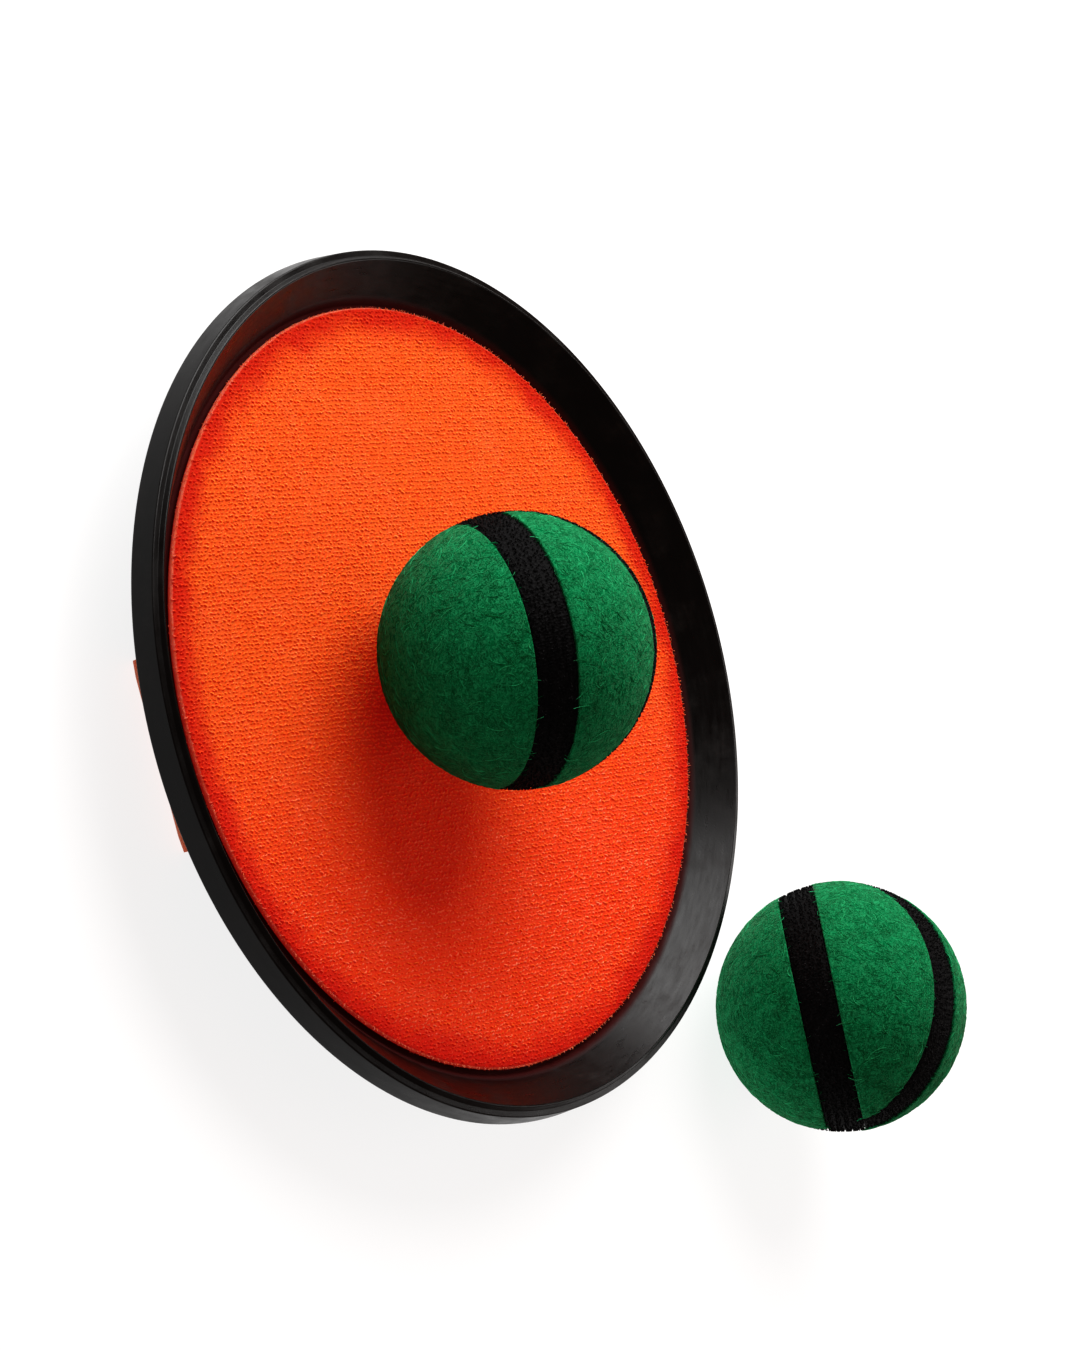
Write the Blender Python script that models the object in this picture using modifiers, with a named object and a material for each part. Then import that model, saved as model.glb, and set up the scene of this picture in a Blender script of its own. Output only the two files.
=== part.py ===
"""Hook and loop catch set, in metres, +Z up.

A round black dish with an orange loop face lies on its back, on the flat underside of its hand
strap. One felt ball with hook bands sits on the face, and a second one lies beside the dish.
The origin is on the ground, under the middle of the dish.
"""
import math

import bmesh
import bpy
from mathutils import Matrix, Vector

# Fits between pieces
SEAT_GAP = 0.0003        # pieces that touch are drawn this far apart
FACET_DIP = 0.00025      # a flat facet of a felt panel or band dips this far under its true curve
SLOT_CLEARANCE = 0.0004  # room round the strap in its slots and recesses

# Hand strap: stiff webbing that runs under the dish and up through two slots near the rim
WEBBING = 0.0014
STRAP_WIDTH = 0.042
SLOT_LAND = 0.0070       # floor left between the outside of the strap and the foot of the wall
STRAP_CORNER = 0.008     # outer radius where the strap turns from upright to flat
STRAP_FOLD = 0.0017      # outer radius where the end folds over the slot's edge
STRAP_TUCK = 0.024       # length of each end, tucked under the loop face
HAND_GAP = 0.0147        # clear height between the strap and the underside of the dish

# Dish: one moulding with a flat floor, a sloped wall, a narrow lip and a skirt turned down
DISH_RADIUS = 0.100      # at the foot of the skirt, the widest place
FLOOR = 0.0026
WALL = 0.0020
WALL_RUN = 0.0084        # how far the sloped wall leans out between the floor and the lip
SKIRT = 0.0018
LIP_RISE = 0.0093        # from the floor's top to the inner edge of the lip
LIP_WIDTH = 0.0023
LIP_FALL = 0.0012        # the lip's outer edge is this much lower than its inner edge
SKIRT_DEPTH = 0.0058
SKIRT_FLARE = 0.0008     # the skirt leans out by this much on its way down
FLOOR_FILLET = 0.0010
LIP_FILLET = 0.0005
FOOT_FILLET = 0.0005
UNDERSIDE_FILLET = 0.0015

# Loop face: a knitted disc whose loops stand in straight rows
FACE_MARGIN = 0.0009     # from the edge of the cloth to the foot of the wall
FACE_THICKNESS = 0.0020
ROW_PITCH = 0.0018
ROW_HEIGHT = 0.0007
ROW_CREST = 0.0006       # width of the flat top of a row
ROW_TURN = math.radians(-5.0)

# Balls: a round core with four felt panels and two crossing hook bands. Each band lies in a plane
# that passes beside the ball's centre, so the bands cross nearer to each other on one side.
BALL_RADIUS = 0.0305
FELT = 0.0019
BAND = 0.0015
BAND_WIDTH = 0.0088
BAND_ANGLE = math.radians(56.0)
BAND_SHIFTS = (-0.0050, 0.0015)  # from the ball's centre to the first and the second band's plane
GROOVE = 0.0003          # between a band's edge and the felt beside it, at the core
FELT_EDGE = 0.0007       # rounding of a panel's edge
PANEL_TIP = 0.0010       # width of the blunt tip of a panel

# Ball 1 lies on the face and ball 2 on the ground. A pole is where a ball's bands cross: it is
# given by its azimuth, its tilt from +Z and the turn of the ball about it.
BALL_1_PLACE = (-0.0025, -0.0130)
BALL_1_POLE = (math.radians(178.6), math.radians(82.8), math.radians(152.9))
BALL_2_BEARING = math.radians(45.8)
BALL_2_CLEAR = 0.0126    # between the dish and ball 2, seen from above
BALL_2_POLE = (math.radians(159.5), math.radians(100.1), math.radians(122.6))

PANEL_SIDES = ((1, -1), (1, 1), (-1, 1), (-1, -1))  # a panel's side of the first and the second band

# Fineness of the curved surfaces
DISH_STEPS = 96
FACE_STEPS = 120
STRAP_STEPS = 5
BAND_STEPS = 48
CORE_STEPS = 24
FILLET_STEPS = 2
PANEL_ROWS = 16
PANEL_COLUMN = math.radians(15.0)
TIP_STEPS = 30

BLACK_PLASTIC = ("black_plastic", (0.012, 0.012, 0.013), 0.32)
ORANGE_LOOP = ("orange_loop", (0.90, 0.10, 0.015), 0.90)
ORANGE_WEBBING = ("orange_webbing", (0.80, 0.13, 0.02), 0.80)
GREEN_FELT = ("green_felt", (0.004, 0.19, 0.075), 0.95)
BLACK_HOOK = ("black_hook", (0.010, 0.010, 0.011), 0.70)
PALE_CORE = ("pale_core", (0.60, 0.60, 0.57), 0.60)

FLOOR_RADIUS = DISH_RADIUS - SKIRT_FLARE - LIP_WIDTH - WALL_RUN
FACE_RADIUS = FLOOR_RADIUS - FACE_MARGIN
STRAP_REACH = FLOOR_RADIUS - SLOT_LAND
BALL_2_REACH = DISH_RADIUS + BALL_2_CLEAR + BALL_RADIUS
UNDERSIDE_Z = WEBBING + HAND_GAP
FLOOR_Z = UNDERSIDE_Z + FLOOR
FACE_Z = FLOOR_Z + SEAT_GAP + FACE_THICKNESS
MERGE = 0.00001


def clear_scene():
    for thing in list(bpy.data.objects):
        bpy.data.objects.remove(thing)


def new_collection(name):
    collection = bpy.data.collections.new(name)
    bpy.context.scene.collection.children.link(collection)
    return collection


def material(finish):
    """The material of a finish, made the first time it is asked for."""
    name, colour, roughness = finish
    made = bpy.data.materials.get(name)
    if made is None:
        made = bpy.data.materials.new(name)
        made.use_nodes = True
        shader = made.node_tree.nodes["Principled BSDF"]
        shader.inputs["Base Color"].default_value = (*colour, 1.0)
        shader.inputs["Roughness"].default_value = roughness
        shader.inputs["Metallic"].default_value = 0.0
    return made


def add_part(name, mesh, finish, parent=None):
    part = bpy.data.objects.new(name, mesh)
    if not mesh.materials:
        mesh.materials.append(material(finish))
    parts.objects.link(part)
    part.parent = parent
    return part


def add_cutter(name, mesh):
    cutter = bpy.data.objects.new(name, mesh)
    cutter.hide_render = True
    cutter.display_type = "WIRE"
    cutters.objects.link(cutter)
    return cutter


def cut(part, cutter, operation="DIFFERENCE"):
    modifier = part.modifiers.new(cutter.name, "BOOLEAN")
    modifier.operation = operation
    modifier.object = cutter


def mesh_of(bm, name):
    mesh = bpy.data.meshes.new(name)
    bm.to_mesh(mesh)
    bm.free()
    return mesh


def box_mesh(name, low, high):
    bm = bmesh.new()
    size = [b - a for a, b in zip(low, high)]
    middle = [(a + b) / 2 for a, b in zip(low, high)]
    place = Matrix.Translation(middle) @ Matrix.Diagonal((*size, 1.0))
    bmesh.ops.create_cube(bm, size=1.0, matrix=place)
    return mesh_of(bm, name)


def rounded_path(corners, steps=FILLET_STEPS):
    """Points along a path of (x, y, radius) corners, with an arc of that radius at each corner."""
    points = [Vector(corners[0][:2])]
    for before, corner, after in zip(corners, corners[1:], corners[2:]):
        here = Vector(corner[:2])
        back = (Vector(before[:2]) - here).normalized()
        ahead = (Vector(after[:2]) - here).normalized()
        half = back.angle(ahead) / 2
        centre = here + (back + ahead).normalized() * corner[2] / math.sin(half)
        start = here + back * corner[2] / math.tan(half) - centre
        end = here + ahead * corner[2] / math.tan(half) - centre
        turn = start.angle_signed(end)
        for k in range(steps + 1):
            points.append(centre + Matrix.Rotation(-turn * k / steps, 2) @ start)
    points.append(Vector(corners[-1][:2]))
    return points


def crossing(point_a, along_a, point_b, along_b):
    """Where two straight lines in the plane cross."""
    point_a, along_a, point_b, along_b = (Vector(v) for v in (point_a, along_a, point_b, along_b))
    between = point_b - point_a
    share = (between.x * along_b.y - between.y * along_b.x)
    share /= along_a.x * along_b.y - along_a.y * along_b.x
    return point_a + along_a * share


def profile_mesh(name, points, closed=False):
    """A chain of edges in the XZ plane, for a Screw modifier to turn."""
    bm = bmesh.new()
    chain = [bm.verts.new((r, 0.0, z)) for r, z in points]
    for a, b in zip(chain, chain[1:]):
        bm.edges.new((a, b))
    if closed:
        bm.edges.new((chain[-1], chain[0]))
    return mesh_of(bm, name)


def turn(part, steps):
    screw = part.modifiers.new("turned", "SCREW")
    screw.steps = steps
    screw.render_steps = steps
    screw.use_merge_vertices = True
    screw.merge_threshold = MERGE
    screw.use_smooth_shade = True


def extruded_outline(name, points, width, place):
    """A closed flat outline given a width, as a mesh, with the outline's Y turned up to +Z."""
    curve = bpy.data.curves.new(name, "CURVE")
    curve.dimensions = "2D"
    curve.fill_mode = "BOTH"
    curve.extrude = width / 2
    spline = curve.splines.new("POLY")
    spline.points.add(len(points) - 1)
    for knot, (x, y) in zip(spline.points, points):
        knot.co = (x, y, 0.0, 1.0)
    spline.use_cyclic_u = True
    outline = bpy.data.objects.new(name + "_outline", curve)
    cutters.objects.link(outline)
    bpy.context.view_layer.update()
    solid = bpy.data.meshes.new_from_object(outline.evaluated_get(bpy.context.evaluated_depsgraph_get()))
    bpy.data.objects.remove(outline)
    bm = bmesh.new()
    bm.from_mesh(solid)
    bmesh.ops.remove_doubles(bm, verts=bm.verts, dist=MERGE)
    bmesh.ops.transform(bm, verts=bm.verts, matrix=place @ Matrix.Rotation(math.pi / 2, 4, "X"))
    bmesh.ops.recalc_face_normals(bm, faces=bm.faces)
    bpy.data.meshes.remove(solid)
    return mesh_of(bm, name)


def strap_corners(offset):
    """Corners of the strap's outer face in the YZ plane, or of a line that far inside that face."""
    reach = STRAP_REACH - offset
    top = FLOOR_Z - offset
    tuck = STRAP_REACH - STRAP_TUCK
    half = [(-tuck, top, 0.0), (-reach, top, STRAP_FOLD - offset), (-reach, offset, STRAP_CORNER - offset)]
    return half + [(-y, z, radius) for y, z, radius in reversed(half)]


def build_hand_strap():
    outside = rounded_path(strap_corners(0.0), STRAP_STEPS)
    inside = rounded_path(strap_corners(WEBBING), STRAP_STEPS)
    place = Matrix.Rotation(math.pi / 2, 4, "Z")
    mesh = extruded_outline("hand_strap", outside + inside[::-1], STRAP_WIDTH, place)
    add_part("hand_strap", mesh, ORANGE_WEBBING)


def dish_profile():
    """Half section of the dish, from the axis over the lip and back under the floor."""
    lip_z = FLOOR_Z + LIP_RISE
    lip_outer = Vector((DISH_RADIUS - SKIRT_FLARE, lip_z - LIP_FALL))
    lip_inner = Vector((lip_outer.x - LIP_WIDTH, lip_z))
    foot = Vector((DISH_RADIUS, lip_outer.y - SKIRT_DEPTH))
    foot_inner = Vector((foot.x - SKIRT, foot.y))
    wall_base = Vector((FLOOR_RADIUS, FLOOR_Z))
    wall_along = (lip_inner - wall_base).normalized()
    wall_back = wall_base + Vector((wall_along.y, -wall_along.x)) * WALL
    groove = crossing(foot_inner, lip_outer - foot, wall_back, wall_along)
    heel = crossing((0.0, UNDERSIDE_Z), (1.0, 0.0), wall_back, wall_along)
    return rounded_path([
        (0.0, FLOOR_Z, 0.0),
        (*wall_base, FLOOR_FILLET),
        (*lip_inner, LIP_FILLET),
        (*lip_outer, LIP_FILLET),
        (*foot, FOOT_FILLET),
        (*foot_inner, FOOT_FILLET),
        (*groove, FOOT_FILLET),
        (*heel, UNDERSIDE_FILLET),
        (0.0, UNDERSIDE_Z, 0.0),
    ])


def build_paddle_shell():
    shell = add_part("paddle_shell", profile_mesh("paddle_shell", dish_profile()), BLACK_PLASTIC)
    turn(shell, DISH_STEPS)
    half_width = STRAP_WIDTH / 2 + SLOT_CLEARANCE
    slot_in = STRAP_REACH - WEBBING - SLOT_CLEARANCE
    slot_out = STRAP_REACH + SLOT_CLEARANCE
    recess_in = STRAP_REACH - STRAP_TUCK - SLOT_CLEARANCE
    recess_z = FLOOR_Z - WEBBING - SEAT_GAP
    for side, name in ((-1, "near"), (1, "far")):
        slot_ys = sorted((side * slot_in, side * slot_out))
        slot = box_mesh("slot_" + name, (-half_width, slot_ys[0], UNDERSIDE_Z - FLOOR),
                        (half_width, slot_ys[1], FLOOR_Z + FLOOR))
        cut(shell, add_cutter("slot_" + name, slot))
        recess_ys = sorted((side * recess_in, side * slot_out))
        recess = box_mesh("recess_" + name, (-half_width, recess_ys[0], recess_z),
                          (half_width, recess_ys[1], FLOOR_Z + FLOOR))
        cut(shell, add_cutter("recess_" + name, recess))


def build_loop_face():
    """A flat disc whose top is cut across by straight rows, each with sloped sides and a flat crest."""
    rows = math.ceil(FACE_RADIUS / ROW_PITCH) + 1
    valley_z = FACE_Z - ROW_HEIGHT
    points = [(-(rows + 0.5) * ROW_PITCH, valley_z)]
    for k in range(-rows, rows + 1):
        middle = k * ROW_PITCH
        points.append((middle - ROW_CREST / 2, FACE_Z))
        points.append((middle + ROW_CREST / 2, FACE_Z))
        points.append((middle + ROW_PITCH / 2, valley_z))
    base_z = FLOOR_Z + SEAT_GAP
    points.append(((rows + 0.5) * ROW_PITCH, base_z))
    points.append((-(rows + 0.5) * ROW_PITCH, base_z))
    place = Matrix.Rotation(ROW_TURN, 4, "Z")
    mesh = extruded_outline("loop_face", points, 2 * (FACE_RADIUS + ROW_PITCH), place)
    face = add_part("loop_face", mesh, ORANGE_LOOP)
    bm = bmesh.new()
    bmesh.ops.create_cone(bm, cap_ends=True, segments=FACE_STEPS, radius1=FACE_RADIUS, radius2=FACE_RADIUS,
                          depth=4 * FACE_THICKNESS, matrix=Matrix.Translation((0.0, 0.0, FACE_Z)))
    cut(face, add_cutter("loop_face_rim", mesh_of(bm, "loop_face_rim")), "INTERSECT")


def core_mesh():
    radius = BALL_RADIUS - FELT - SEAT_GAP - FACET_DIP
    bm = bmesh.new()
    bmesh.ops.create_uvsphere(bm, u_segments=CORE_STEPS, v_segments=CORE_STEPS // 2, radius=radius)
    mesh = mesh_of(bm, "core")
    mesh.shade_smooth()
    return mesh


def band_profile(shift):
    """Section of a band: its inner and outer faces follow the ball, across the band's width."""
    inner = BALL_RADIUS - FELT
    outer = inner + BAND
    half = BAND_WIDTH / 2
    offsets = (shift + half, shift, shift - half)
    outside = [(math.sqrt(outer ** 2 - z ** 2), z) for z in offsets]
    inside = [(math.sqrt(inner ** 2 - z ** 2), z) for z in reversed(offsets)]
    return outside + inside


def band_mesh(name, turn_about_pole, shift):
    """A whole band, upright on the local Z axis, that far beside the ball's centre."""
    ring = bpy.data.objects.new(name, profile_mesh(name, band_profile(shift), closed=True))
    cutters.objects.link(ring)
    turn(ring, BAND_STEPS)
    bpy.context.view_layer.update()
    mesh = bpy.data.meshes.new_from_object(ring.evaluated_get(bpy.context.evaluated_depsgraph_get()))
    bpy.data.objects.remove(ring)
    bm = bmesh.new()
    bm.from_mesh(mesh)
    bpy.data.meshes.remove(mesh)
    upright = Matrix.Rotation(turn_about_pole, 4, "Z") @ Matrix.Rotation(-math.pi / 2, 4, "X")
    bmesh.ops.transform(bm, verts=bm.verts, matrix=upright)
    bmesh.ops.recalc_face_normals(bm, faces=bm.faces)
    return bm


def half_band_mesh(name, side):
    """The part of the second band on one side of the first, with its ends cut to meet that band."""
    bm = band_mesh(name, BAND_ANGLE, BAND_SHIFTS[1])
    edge_y = BAND_SHIFTS[0] + side * (BAND_WIDTH / 2 + SEAT_GAP)
    cut_faces = bmesh.ops.bisect_plane(
        bm, geom=bm.verts[:] + bm.edges[:] + bm.faces[:], dist=MERGE,
        plane_co=(0.0, edge_y, 0.0), plane_no=(0.0, side, 0.0), clear_inner=True)
    rim = [e for e in cut_faces["geom_cut"] if isinstance(e, bmesh.types.BMEdge)]
    bmesh.ops.edgenet_fill(bm, edges=rim)
    bmesh.ops.recalc_face_normals(bm, faces=bm.faces)
    return mesh_of(bm, name)


def panel_span(sides, level):
    """Azimuths between which a panel covers a level circle, about the local Z axis, of that radius."""
    arcs = []
    for band, side in enumerate(sides):
        offset = BAND_SHIFTS[band] + side * (BAND_WIDTH / 2 + GROOVE)
        half = math.acos(max(-1.0, min(1.0, side * offset / level)))
        arcs.append((BAND_ANGLE * band + side * math.pi / 2, half))
    (middle_1, half_1), (middle_2, half_2) = arcs
    middle_2 = middle_1 + math.remainder(middle_2 - middle_1, math.tau)
    return max(middle_1 - half_1, middle_2 - half_2), min(middle_1 + half_1, middle_2 + half_2)


def tip_polar(sides):
    """Angle from the pole at which a panel's inner skin has narrowed to its blunt tip."""
    low, high = 0.0, math.pi / 2
    for _ in range(TIP_STEPS):
        polar = (low + high) / 2
        level = (BALL_RADIUS - FELT) * math.sin(polar)
        start, end = panel_span(sides, level)
        if (end - start) * level < PANEL_TIP:
            low = polar
        else:
            high = polar
    return high


def panel_mesh(name, sides):
    """A felt panel beside both bands: an outer and an inner skin with a rim between them."""
    tip = tip_polar(sides)
    start, end = panel_span(sides, BALL_RADIUS)
    columns = math.ceil((end - start) / PANEL_COLUMN)
    bm = bmesh.new()
    skins = []
    for radius in (BALL_RADIUS, BALL_RADIUS - FELT):
        rows = []
        for j in range(PANEL_ROWS + 1):
            # the rows lie closer together near the tips, where the edges turn fastest
            polar = math.pi / 2 - (math.pi / 2 - tip) * math.cos(math.pi * j / PANEL_ROWS)
            level = radius * math.sin(polar)
            start, end = panel_span(sides, level)
            arounds = [start + (end - start) * k / columns for k in range(columns + 1)]
            rows.append([bm.verts.new((level * math.cos(a), level * math.sin(a), radius * math.cos(polar)))
                         for a in arounds])
        for row, following in zip(rows, rows[1:]):
            for corners in zip(row, row[1:], following[1:], following):
                bm.faces.new(corners)
        right = [row[-1] for row in rows]
        left = [row[0] for row in rows]
        skins.append(rows[0] + right[1:-1] + rows[-1][::-1] + left[-2:0:-1])
    outer, inner = skins
    for a, b, c, d in zip(outer, outer[1:] + outer[:1], inner[1:] + inner[:1], inner):
        bm.faces.new((a, b, c, d))
    bmesh.ops.recalc_face_normals(bm, faces=bm.faces)
    mesh = mesh_of(bm, name)
    mesh.shade_smooth()
    return mesh


def build_ball(name, centre, pole):
    """One ball, made about a centre and turned as a whole so that its bands cross at the pole."""
    azimuth, tilt, spin = pole
    middle = bpy.data.objects.new(name + "_middle", None)
    middle.location = centre
    turned = (Matrix.Rotation(azimuth, 4, "Z") @ Matrix.Rotation(tilt, 4, "Y")
              @ Matrix.Rotation(spin, 4, "Z"))
    middle.rotation_euler = turned.to_euler("XYZ")
    parts.objects.link(middle)
    add_part(name + "_core", core_mesh(), PALE_CORE, middle)
    add_part(name + "_band", mesh_of(band_mesh("band", 0.0, BAND_SHIFTS[0]), "band"), BLACK_HOOK, middle)
    for side, where in ((1, "a"), (-1, "b")):
        add_part(f"{name}_half_band_{where}", half_band_mesh("half_band_" + where, side), BLACK_HOOK, middle)
    for k, sides in enumerate(PANEL_SIDES, start=1):
        panel = add_part(f"{name}_felt_{k}", panel_mesh(f"felt_{k}", sides), GREEN_FELT, middle)
        rounding = panel.modifiers.new("edge", "BEVEL")
        rounding.width = FELT_EDGE
        rounding.segments = 1
        rounding.limit_method = "ANGLE"
        rounding.angle_limit = math.radians(50.0)


clear_scene()
parts = new_collection("hook_and_loop_catch_set")
cutters = new_collection("cutters")
build_paddle_shell()
build_loop_face()
build_hand_strap()
build_ball("ball_1", (*BALL_1_PLACE, FACE_Z + SEAT_GAP + BALL_RADIUS), BALL_1_POLE)
build_ball("ball_2", (BALL_2_REACH * math.cos(BALL_2_BEARING), BALL_2_REACH * math.sin(BALL_2_BEARING),
                      BALL_RADIUS), BALL_2_POLE)
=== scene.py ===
"""Hook and loop catch set: a round black dish with an orange loop face, and two green felt balls
with black hook bands. All lengths are in metres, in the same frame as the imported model."""

import math

import bmesh
import bpy
from mathutils import Matrix, Vector


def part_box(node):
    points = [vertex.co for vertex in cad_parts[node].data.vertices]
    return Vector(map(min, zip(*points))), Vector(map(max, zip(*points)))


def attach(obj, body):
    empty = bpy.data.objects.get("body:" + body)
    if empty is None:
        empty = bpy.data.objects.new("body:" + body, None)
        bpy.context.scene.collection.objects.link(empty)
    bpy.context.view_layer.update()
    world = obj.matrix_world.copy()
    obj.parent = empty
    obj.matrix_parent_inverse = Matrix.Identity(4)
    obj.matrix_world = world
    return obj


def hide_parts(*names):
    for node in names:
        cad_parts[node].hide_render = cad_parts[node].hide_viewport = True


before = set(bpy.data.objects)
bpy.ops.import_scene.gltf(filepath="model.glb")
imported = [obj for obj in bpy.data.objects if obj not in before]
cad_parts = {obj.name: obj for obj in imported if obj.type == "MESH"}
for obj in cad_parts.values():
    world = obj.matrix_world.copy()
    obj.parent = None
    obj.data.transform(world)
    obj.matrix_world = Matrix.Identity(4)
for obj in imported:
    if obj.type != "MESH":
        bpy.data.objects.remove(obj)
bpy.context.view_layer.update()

# The view: the camera looks down at the dish from its near side, rolled so that the dish's far
# side is at the right of the picture and its left side is at the top.
photo_height_pixels = 1350
focal_pixels = 3883.5
sensor = 36.0
nearest_seen = 0.01
look_at = Vector((0.00322, 0.03282, 0.0210))
view_distance = 0.900
view_bearing = math.radians(1.0)
view_elevation = math.radians(37.445)
view_roll = math.radians(74.333)


def towards(bearing, elevation):
    """A unit vector, with its bearing measured from -Y towards +X and its height above level."""
    level = math.cos(elevation)
    return Vector((math.sin(bearing) * level, -math.cos(bearing) * level, math.sin(elevation)))


back = towards(view_bearing, view_elevation)
level_right = Vector((0.0, 0.0, 1.0)).cross(back).normalized()
level_up = back.cross(level_right)
right = level_right * math.cos(view_roll) + level_up * math.sin(view_roll)
up = level_up * math.cos(view_roll) - level_right * math.sin(view_roll)
camera = bpy.data.objects.new("camera", bpy.data.cameras.new("camera"))
camera.data.sensor_width = sensor
camera.data.lens = focal_pixels / photo_height_pixels * sensor
camera.data.clip_start = nearest_seen
camera.matrix_world = (Matrix.Translation(look_at + back * view_distance)
                       @ Matrix((right, up, back)).transposed().to_4x4())
bpy.context.scene.collection.objects.link(camera)
bpy.context.scene.camera = camera


# The studio: a plain pale floor, one large soft lamp to the dish's left, a smaller and weaker one low
# behind it and a dim warm surround. The floor glows a little, so that the shadows on it stay faint.
floor_half = 2.0
floor_drop = 0.0001
floor_glow = 0.60
floor_grey = (128, 128, 128)
light_distance = 0.90
surround_pink = (1.0, 0.70, 0.60, 1.0)
surround_strength = 0.19


class Socket:
    """An output of a node. Arithmetic on it adds Math nodes to the same tree."""

    def __init__(self, tree, output):
        self.tree = tree
        self.output = output

    def math(self, operation, *others):
        """A Math node with this output as its first value."""
        return self.tree.compute(operation, self, *others)

    def beside(self, name):
        """Another output of the same node."""
        return Socket(self.tree, self.output.node.outputs[name])

    def __add__(self, other):
        return self.math("ADD", other)

    def __radd__(self, other):
        return self.tree.compute("ADD", other, self)

    def __sub__(self, other):
        return self.math("SUBTRACT", other)

    def __rsub__(self, other):
        return self.tree.compute("SUBTRACT", other, self)

    def __mul__(self, other):
        return self.math("MULTIPLY", other)

    def __rmul__(self, other):
        return self.tree.compute("MULTIPLY", other, self)

    def __truediv__(self, other):
        return self.math("DIVIDE", other)

    def __rtruediv__(self, other):
        return self.tree.compute("DIVIDE", other, self)


class Tree:
    """A node tree under construction, for a material or for a Geometry Nodes modifier."""

    def __init__(self, nodes):
        self.nodes = nodes

    def add(self, kind, sockets=None, out=0, **settings):
        """One node. Its settings are made first, then its sockets are set or linked."""
        node = self.nodes.nodes.new(kind)
        for name, setting in settings.items():
            setattr(node, name, setting)
        for name, value in (sockets or {}).items():
            if isinstance(value, Socket):
                self.nodes.links.new(value.output, node.inputs[name])
            else:
                node.inputs[name].default_value = value
        return Socket(self, node.outputs[out]) if node.outputs else None

    def compute(self, operation, *values):
        return self.add("ShaderNodeMath", dict(enumerate(values)), operation=operation)

    def place(self):
        """Where a point lies in the object's own space."""
        return self.add("ShaderNodeTexCoord", out="Object")

    def vector(self, x, y, z):
        return self.add("ShaderNodeCombineXYZ", {0: x, 1: y, 2: z})

    def parts(self, vector):
        """The X, Y and Z of a vector."""
        x = self.add("ShaderNodeSeparateXYZ", {"Vector": vector}, "X")
        return x, x.beside("Y"), x.beside("Z")

    def length(self, vector):
        return self.add("ShaderNodeVectorMath", {0: vector}, "Value", operation="LENGTH")

    def reach(self, place):
        """How far a place is from the Z axis."""
        return self.length(self.add("ShaderNodeVectorMath", {0: place, 1: (1.0, 1.0, 0.0)},
                                    operation="MULTIPLY"))

    def blend(self, share, first, second):
        """Two colours mixed. A share of 0 gives the first and 1 the second."""
        return self.add("ShaderNodeMix", {0: share, 6: first, 7: second}, 2, data_type="RGBA")

    def rise(self, value, low, high):
        """0 where the value is under low, 1 where it is over high, and a smooth rise between."""
        return self.add("ShaderNodeMapRange", {0: value, 1: low, 2: high},
                        interpolation_type="SMOOTHSTEP")

    def cloud(self, place, size, detail=2.0, roughness=0.5, distortion=0.0):
        """Soft noise from 0 to 1, with blotches of about the given size in metres."""
        return self.add("ShaderNodeTexNoise", {
            "Vector": place, "Scale": 1.0 / size, "Detail": detail, "Roughness": roughness,
            "Distortion": distortion})

    def bump(self, height, depth):
        """A surface normal from a height of 0 to 1 that stands for a depth in metres."""
        return self.add("ShaderNodeBump", {"Height": height, "Distance": depth})

    def surface(self, sockets):
        shader = self.add("ShaderNodeBsdfPrincipled", sockets)
        self.add("ShaderNodeOutputMaterial", {"Surface": shader})


def finish(name):
    """A new material and its empty tree."""
    material = bpy.data.materials.new(name)
    material.use_nodes = True
    material.node_tree.nodes.clear()
    return material, Tree(material.node_tree)


def paint(red, green, blue):
    """A colour as a screen shows it, from 0 to 255, turned into the light that a shader uses."""
    shares = [channel / 255 for channel in (red, green, blue)]
    light = [s / 12.92 if s <= 0.04045 else ((s + 0.055) / 1.055) ** 2.4 for s in shares]
    return (*light, 1.0)


def dress(piece, material):
    piece.data.materials.clear()
    piece.data.materials.append(material)


def new_piece(name, mesh, material=None):
    piece = bpy.data.objects.new(name, mesh)
    bpy.context.scene.collection.objects.link(piece)
    if material:
        dress(piece, material)
    return piece


def soft_lamp(name, bearing, elevation, size, watts):
    """A round white lamp that faces the middle of the view. Its two angles are in degrees."""
    lamp = bpy.data.objects.new(name, bpy.data.lights.new(name, "AREA"))
    lamp.data.shape = "DISK"
    lamp.data.size = size
    lamp.data.energy = watts
    direction = towards(math.radians(bearing), math.radians(elevation))
    lamp.location = look_at + direction * light_distance
    lamp.rotation_euler = direction.to_track_quat("Z", "Y").to_euler()
    bpy.context.scene.collection.objects.link(lamp)


floor_paint, tree = finish("pale_floor")
tree.surface({
    "Base Color": paint(*floor_grey),
    "Roughness": 0.9,
    "Specular IOR Level": 0.1,
    "Emission Color": (1.0, 1.0, 1.0, 1.0),
    "Emission Strength": floor_glow,
})
bm = bmesh.new()
bmesh.ops.create_grid(bm, x_segments=1, y_segments=1, size=floor_half,
                      matrix=Matrix.Translation((0.0, 0.0, -floor_drop)))
floor_mesh = bpy.data.meshes.new("floor")
bm.to_mesh(floor_mesh)
bm.free()
new_piece("floor", floor_mesh, floor_paint)

soft_lamp("key_lamp", bearing=-104.0, elevation=40.0, size=0.95, watts=9.8)
soft_lamp("rim_lamp", bearing=158.0, elevation=24.0, size=0.60, watts=1.7)
surround = bpy.data.worlds.new("surround")
surround.use_nodes = True
glow = surround.node_tree.nodes["Background"].inputs
glow["Color"].default_value = surround_pink
glow["Strength"].default_value = surround_strength
bpy.context.scene.world = surround
bpy.context.scene.view_settings.view_transform = "Standard"
bpy.context.scene.view_settings.look = "High Contrast"


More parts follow.
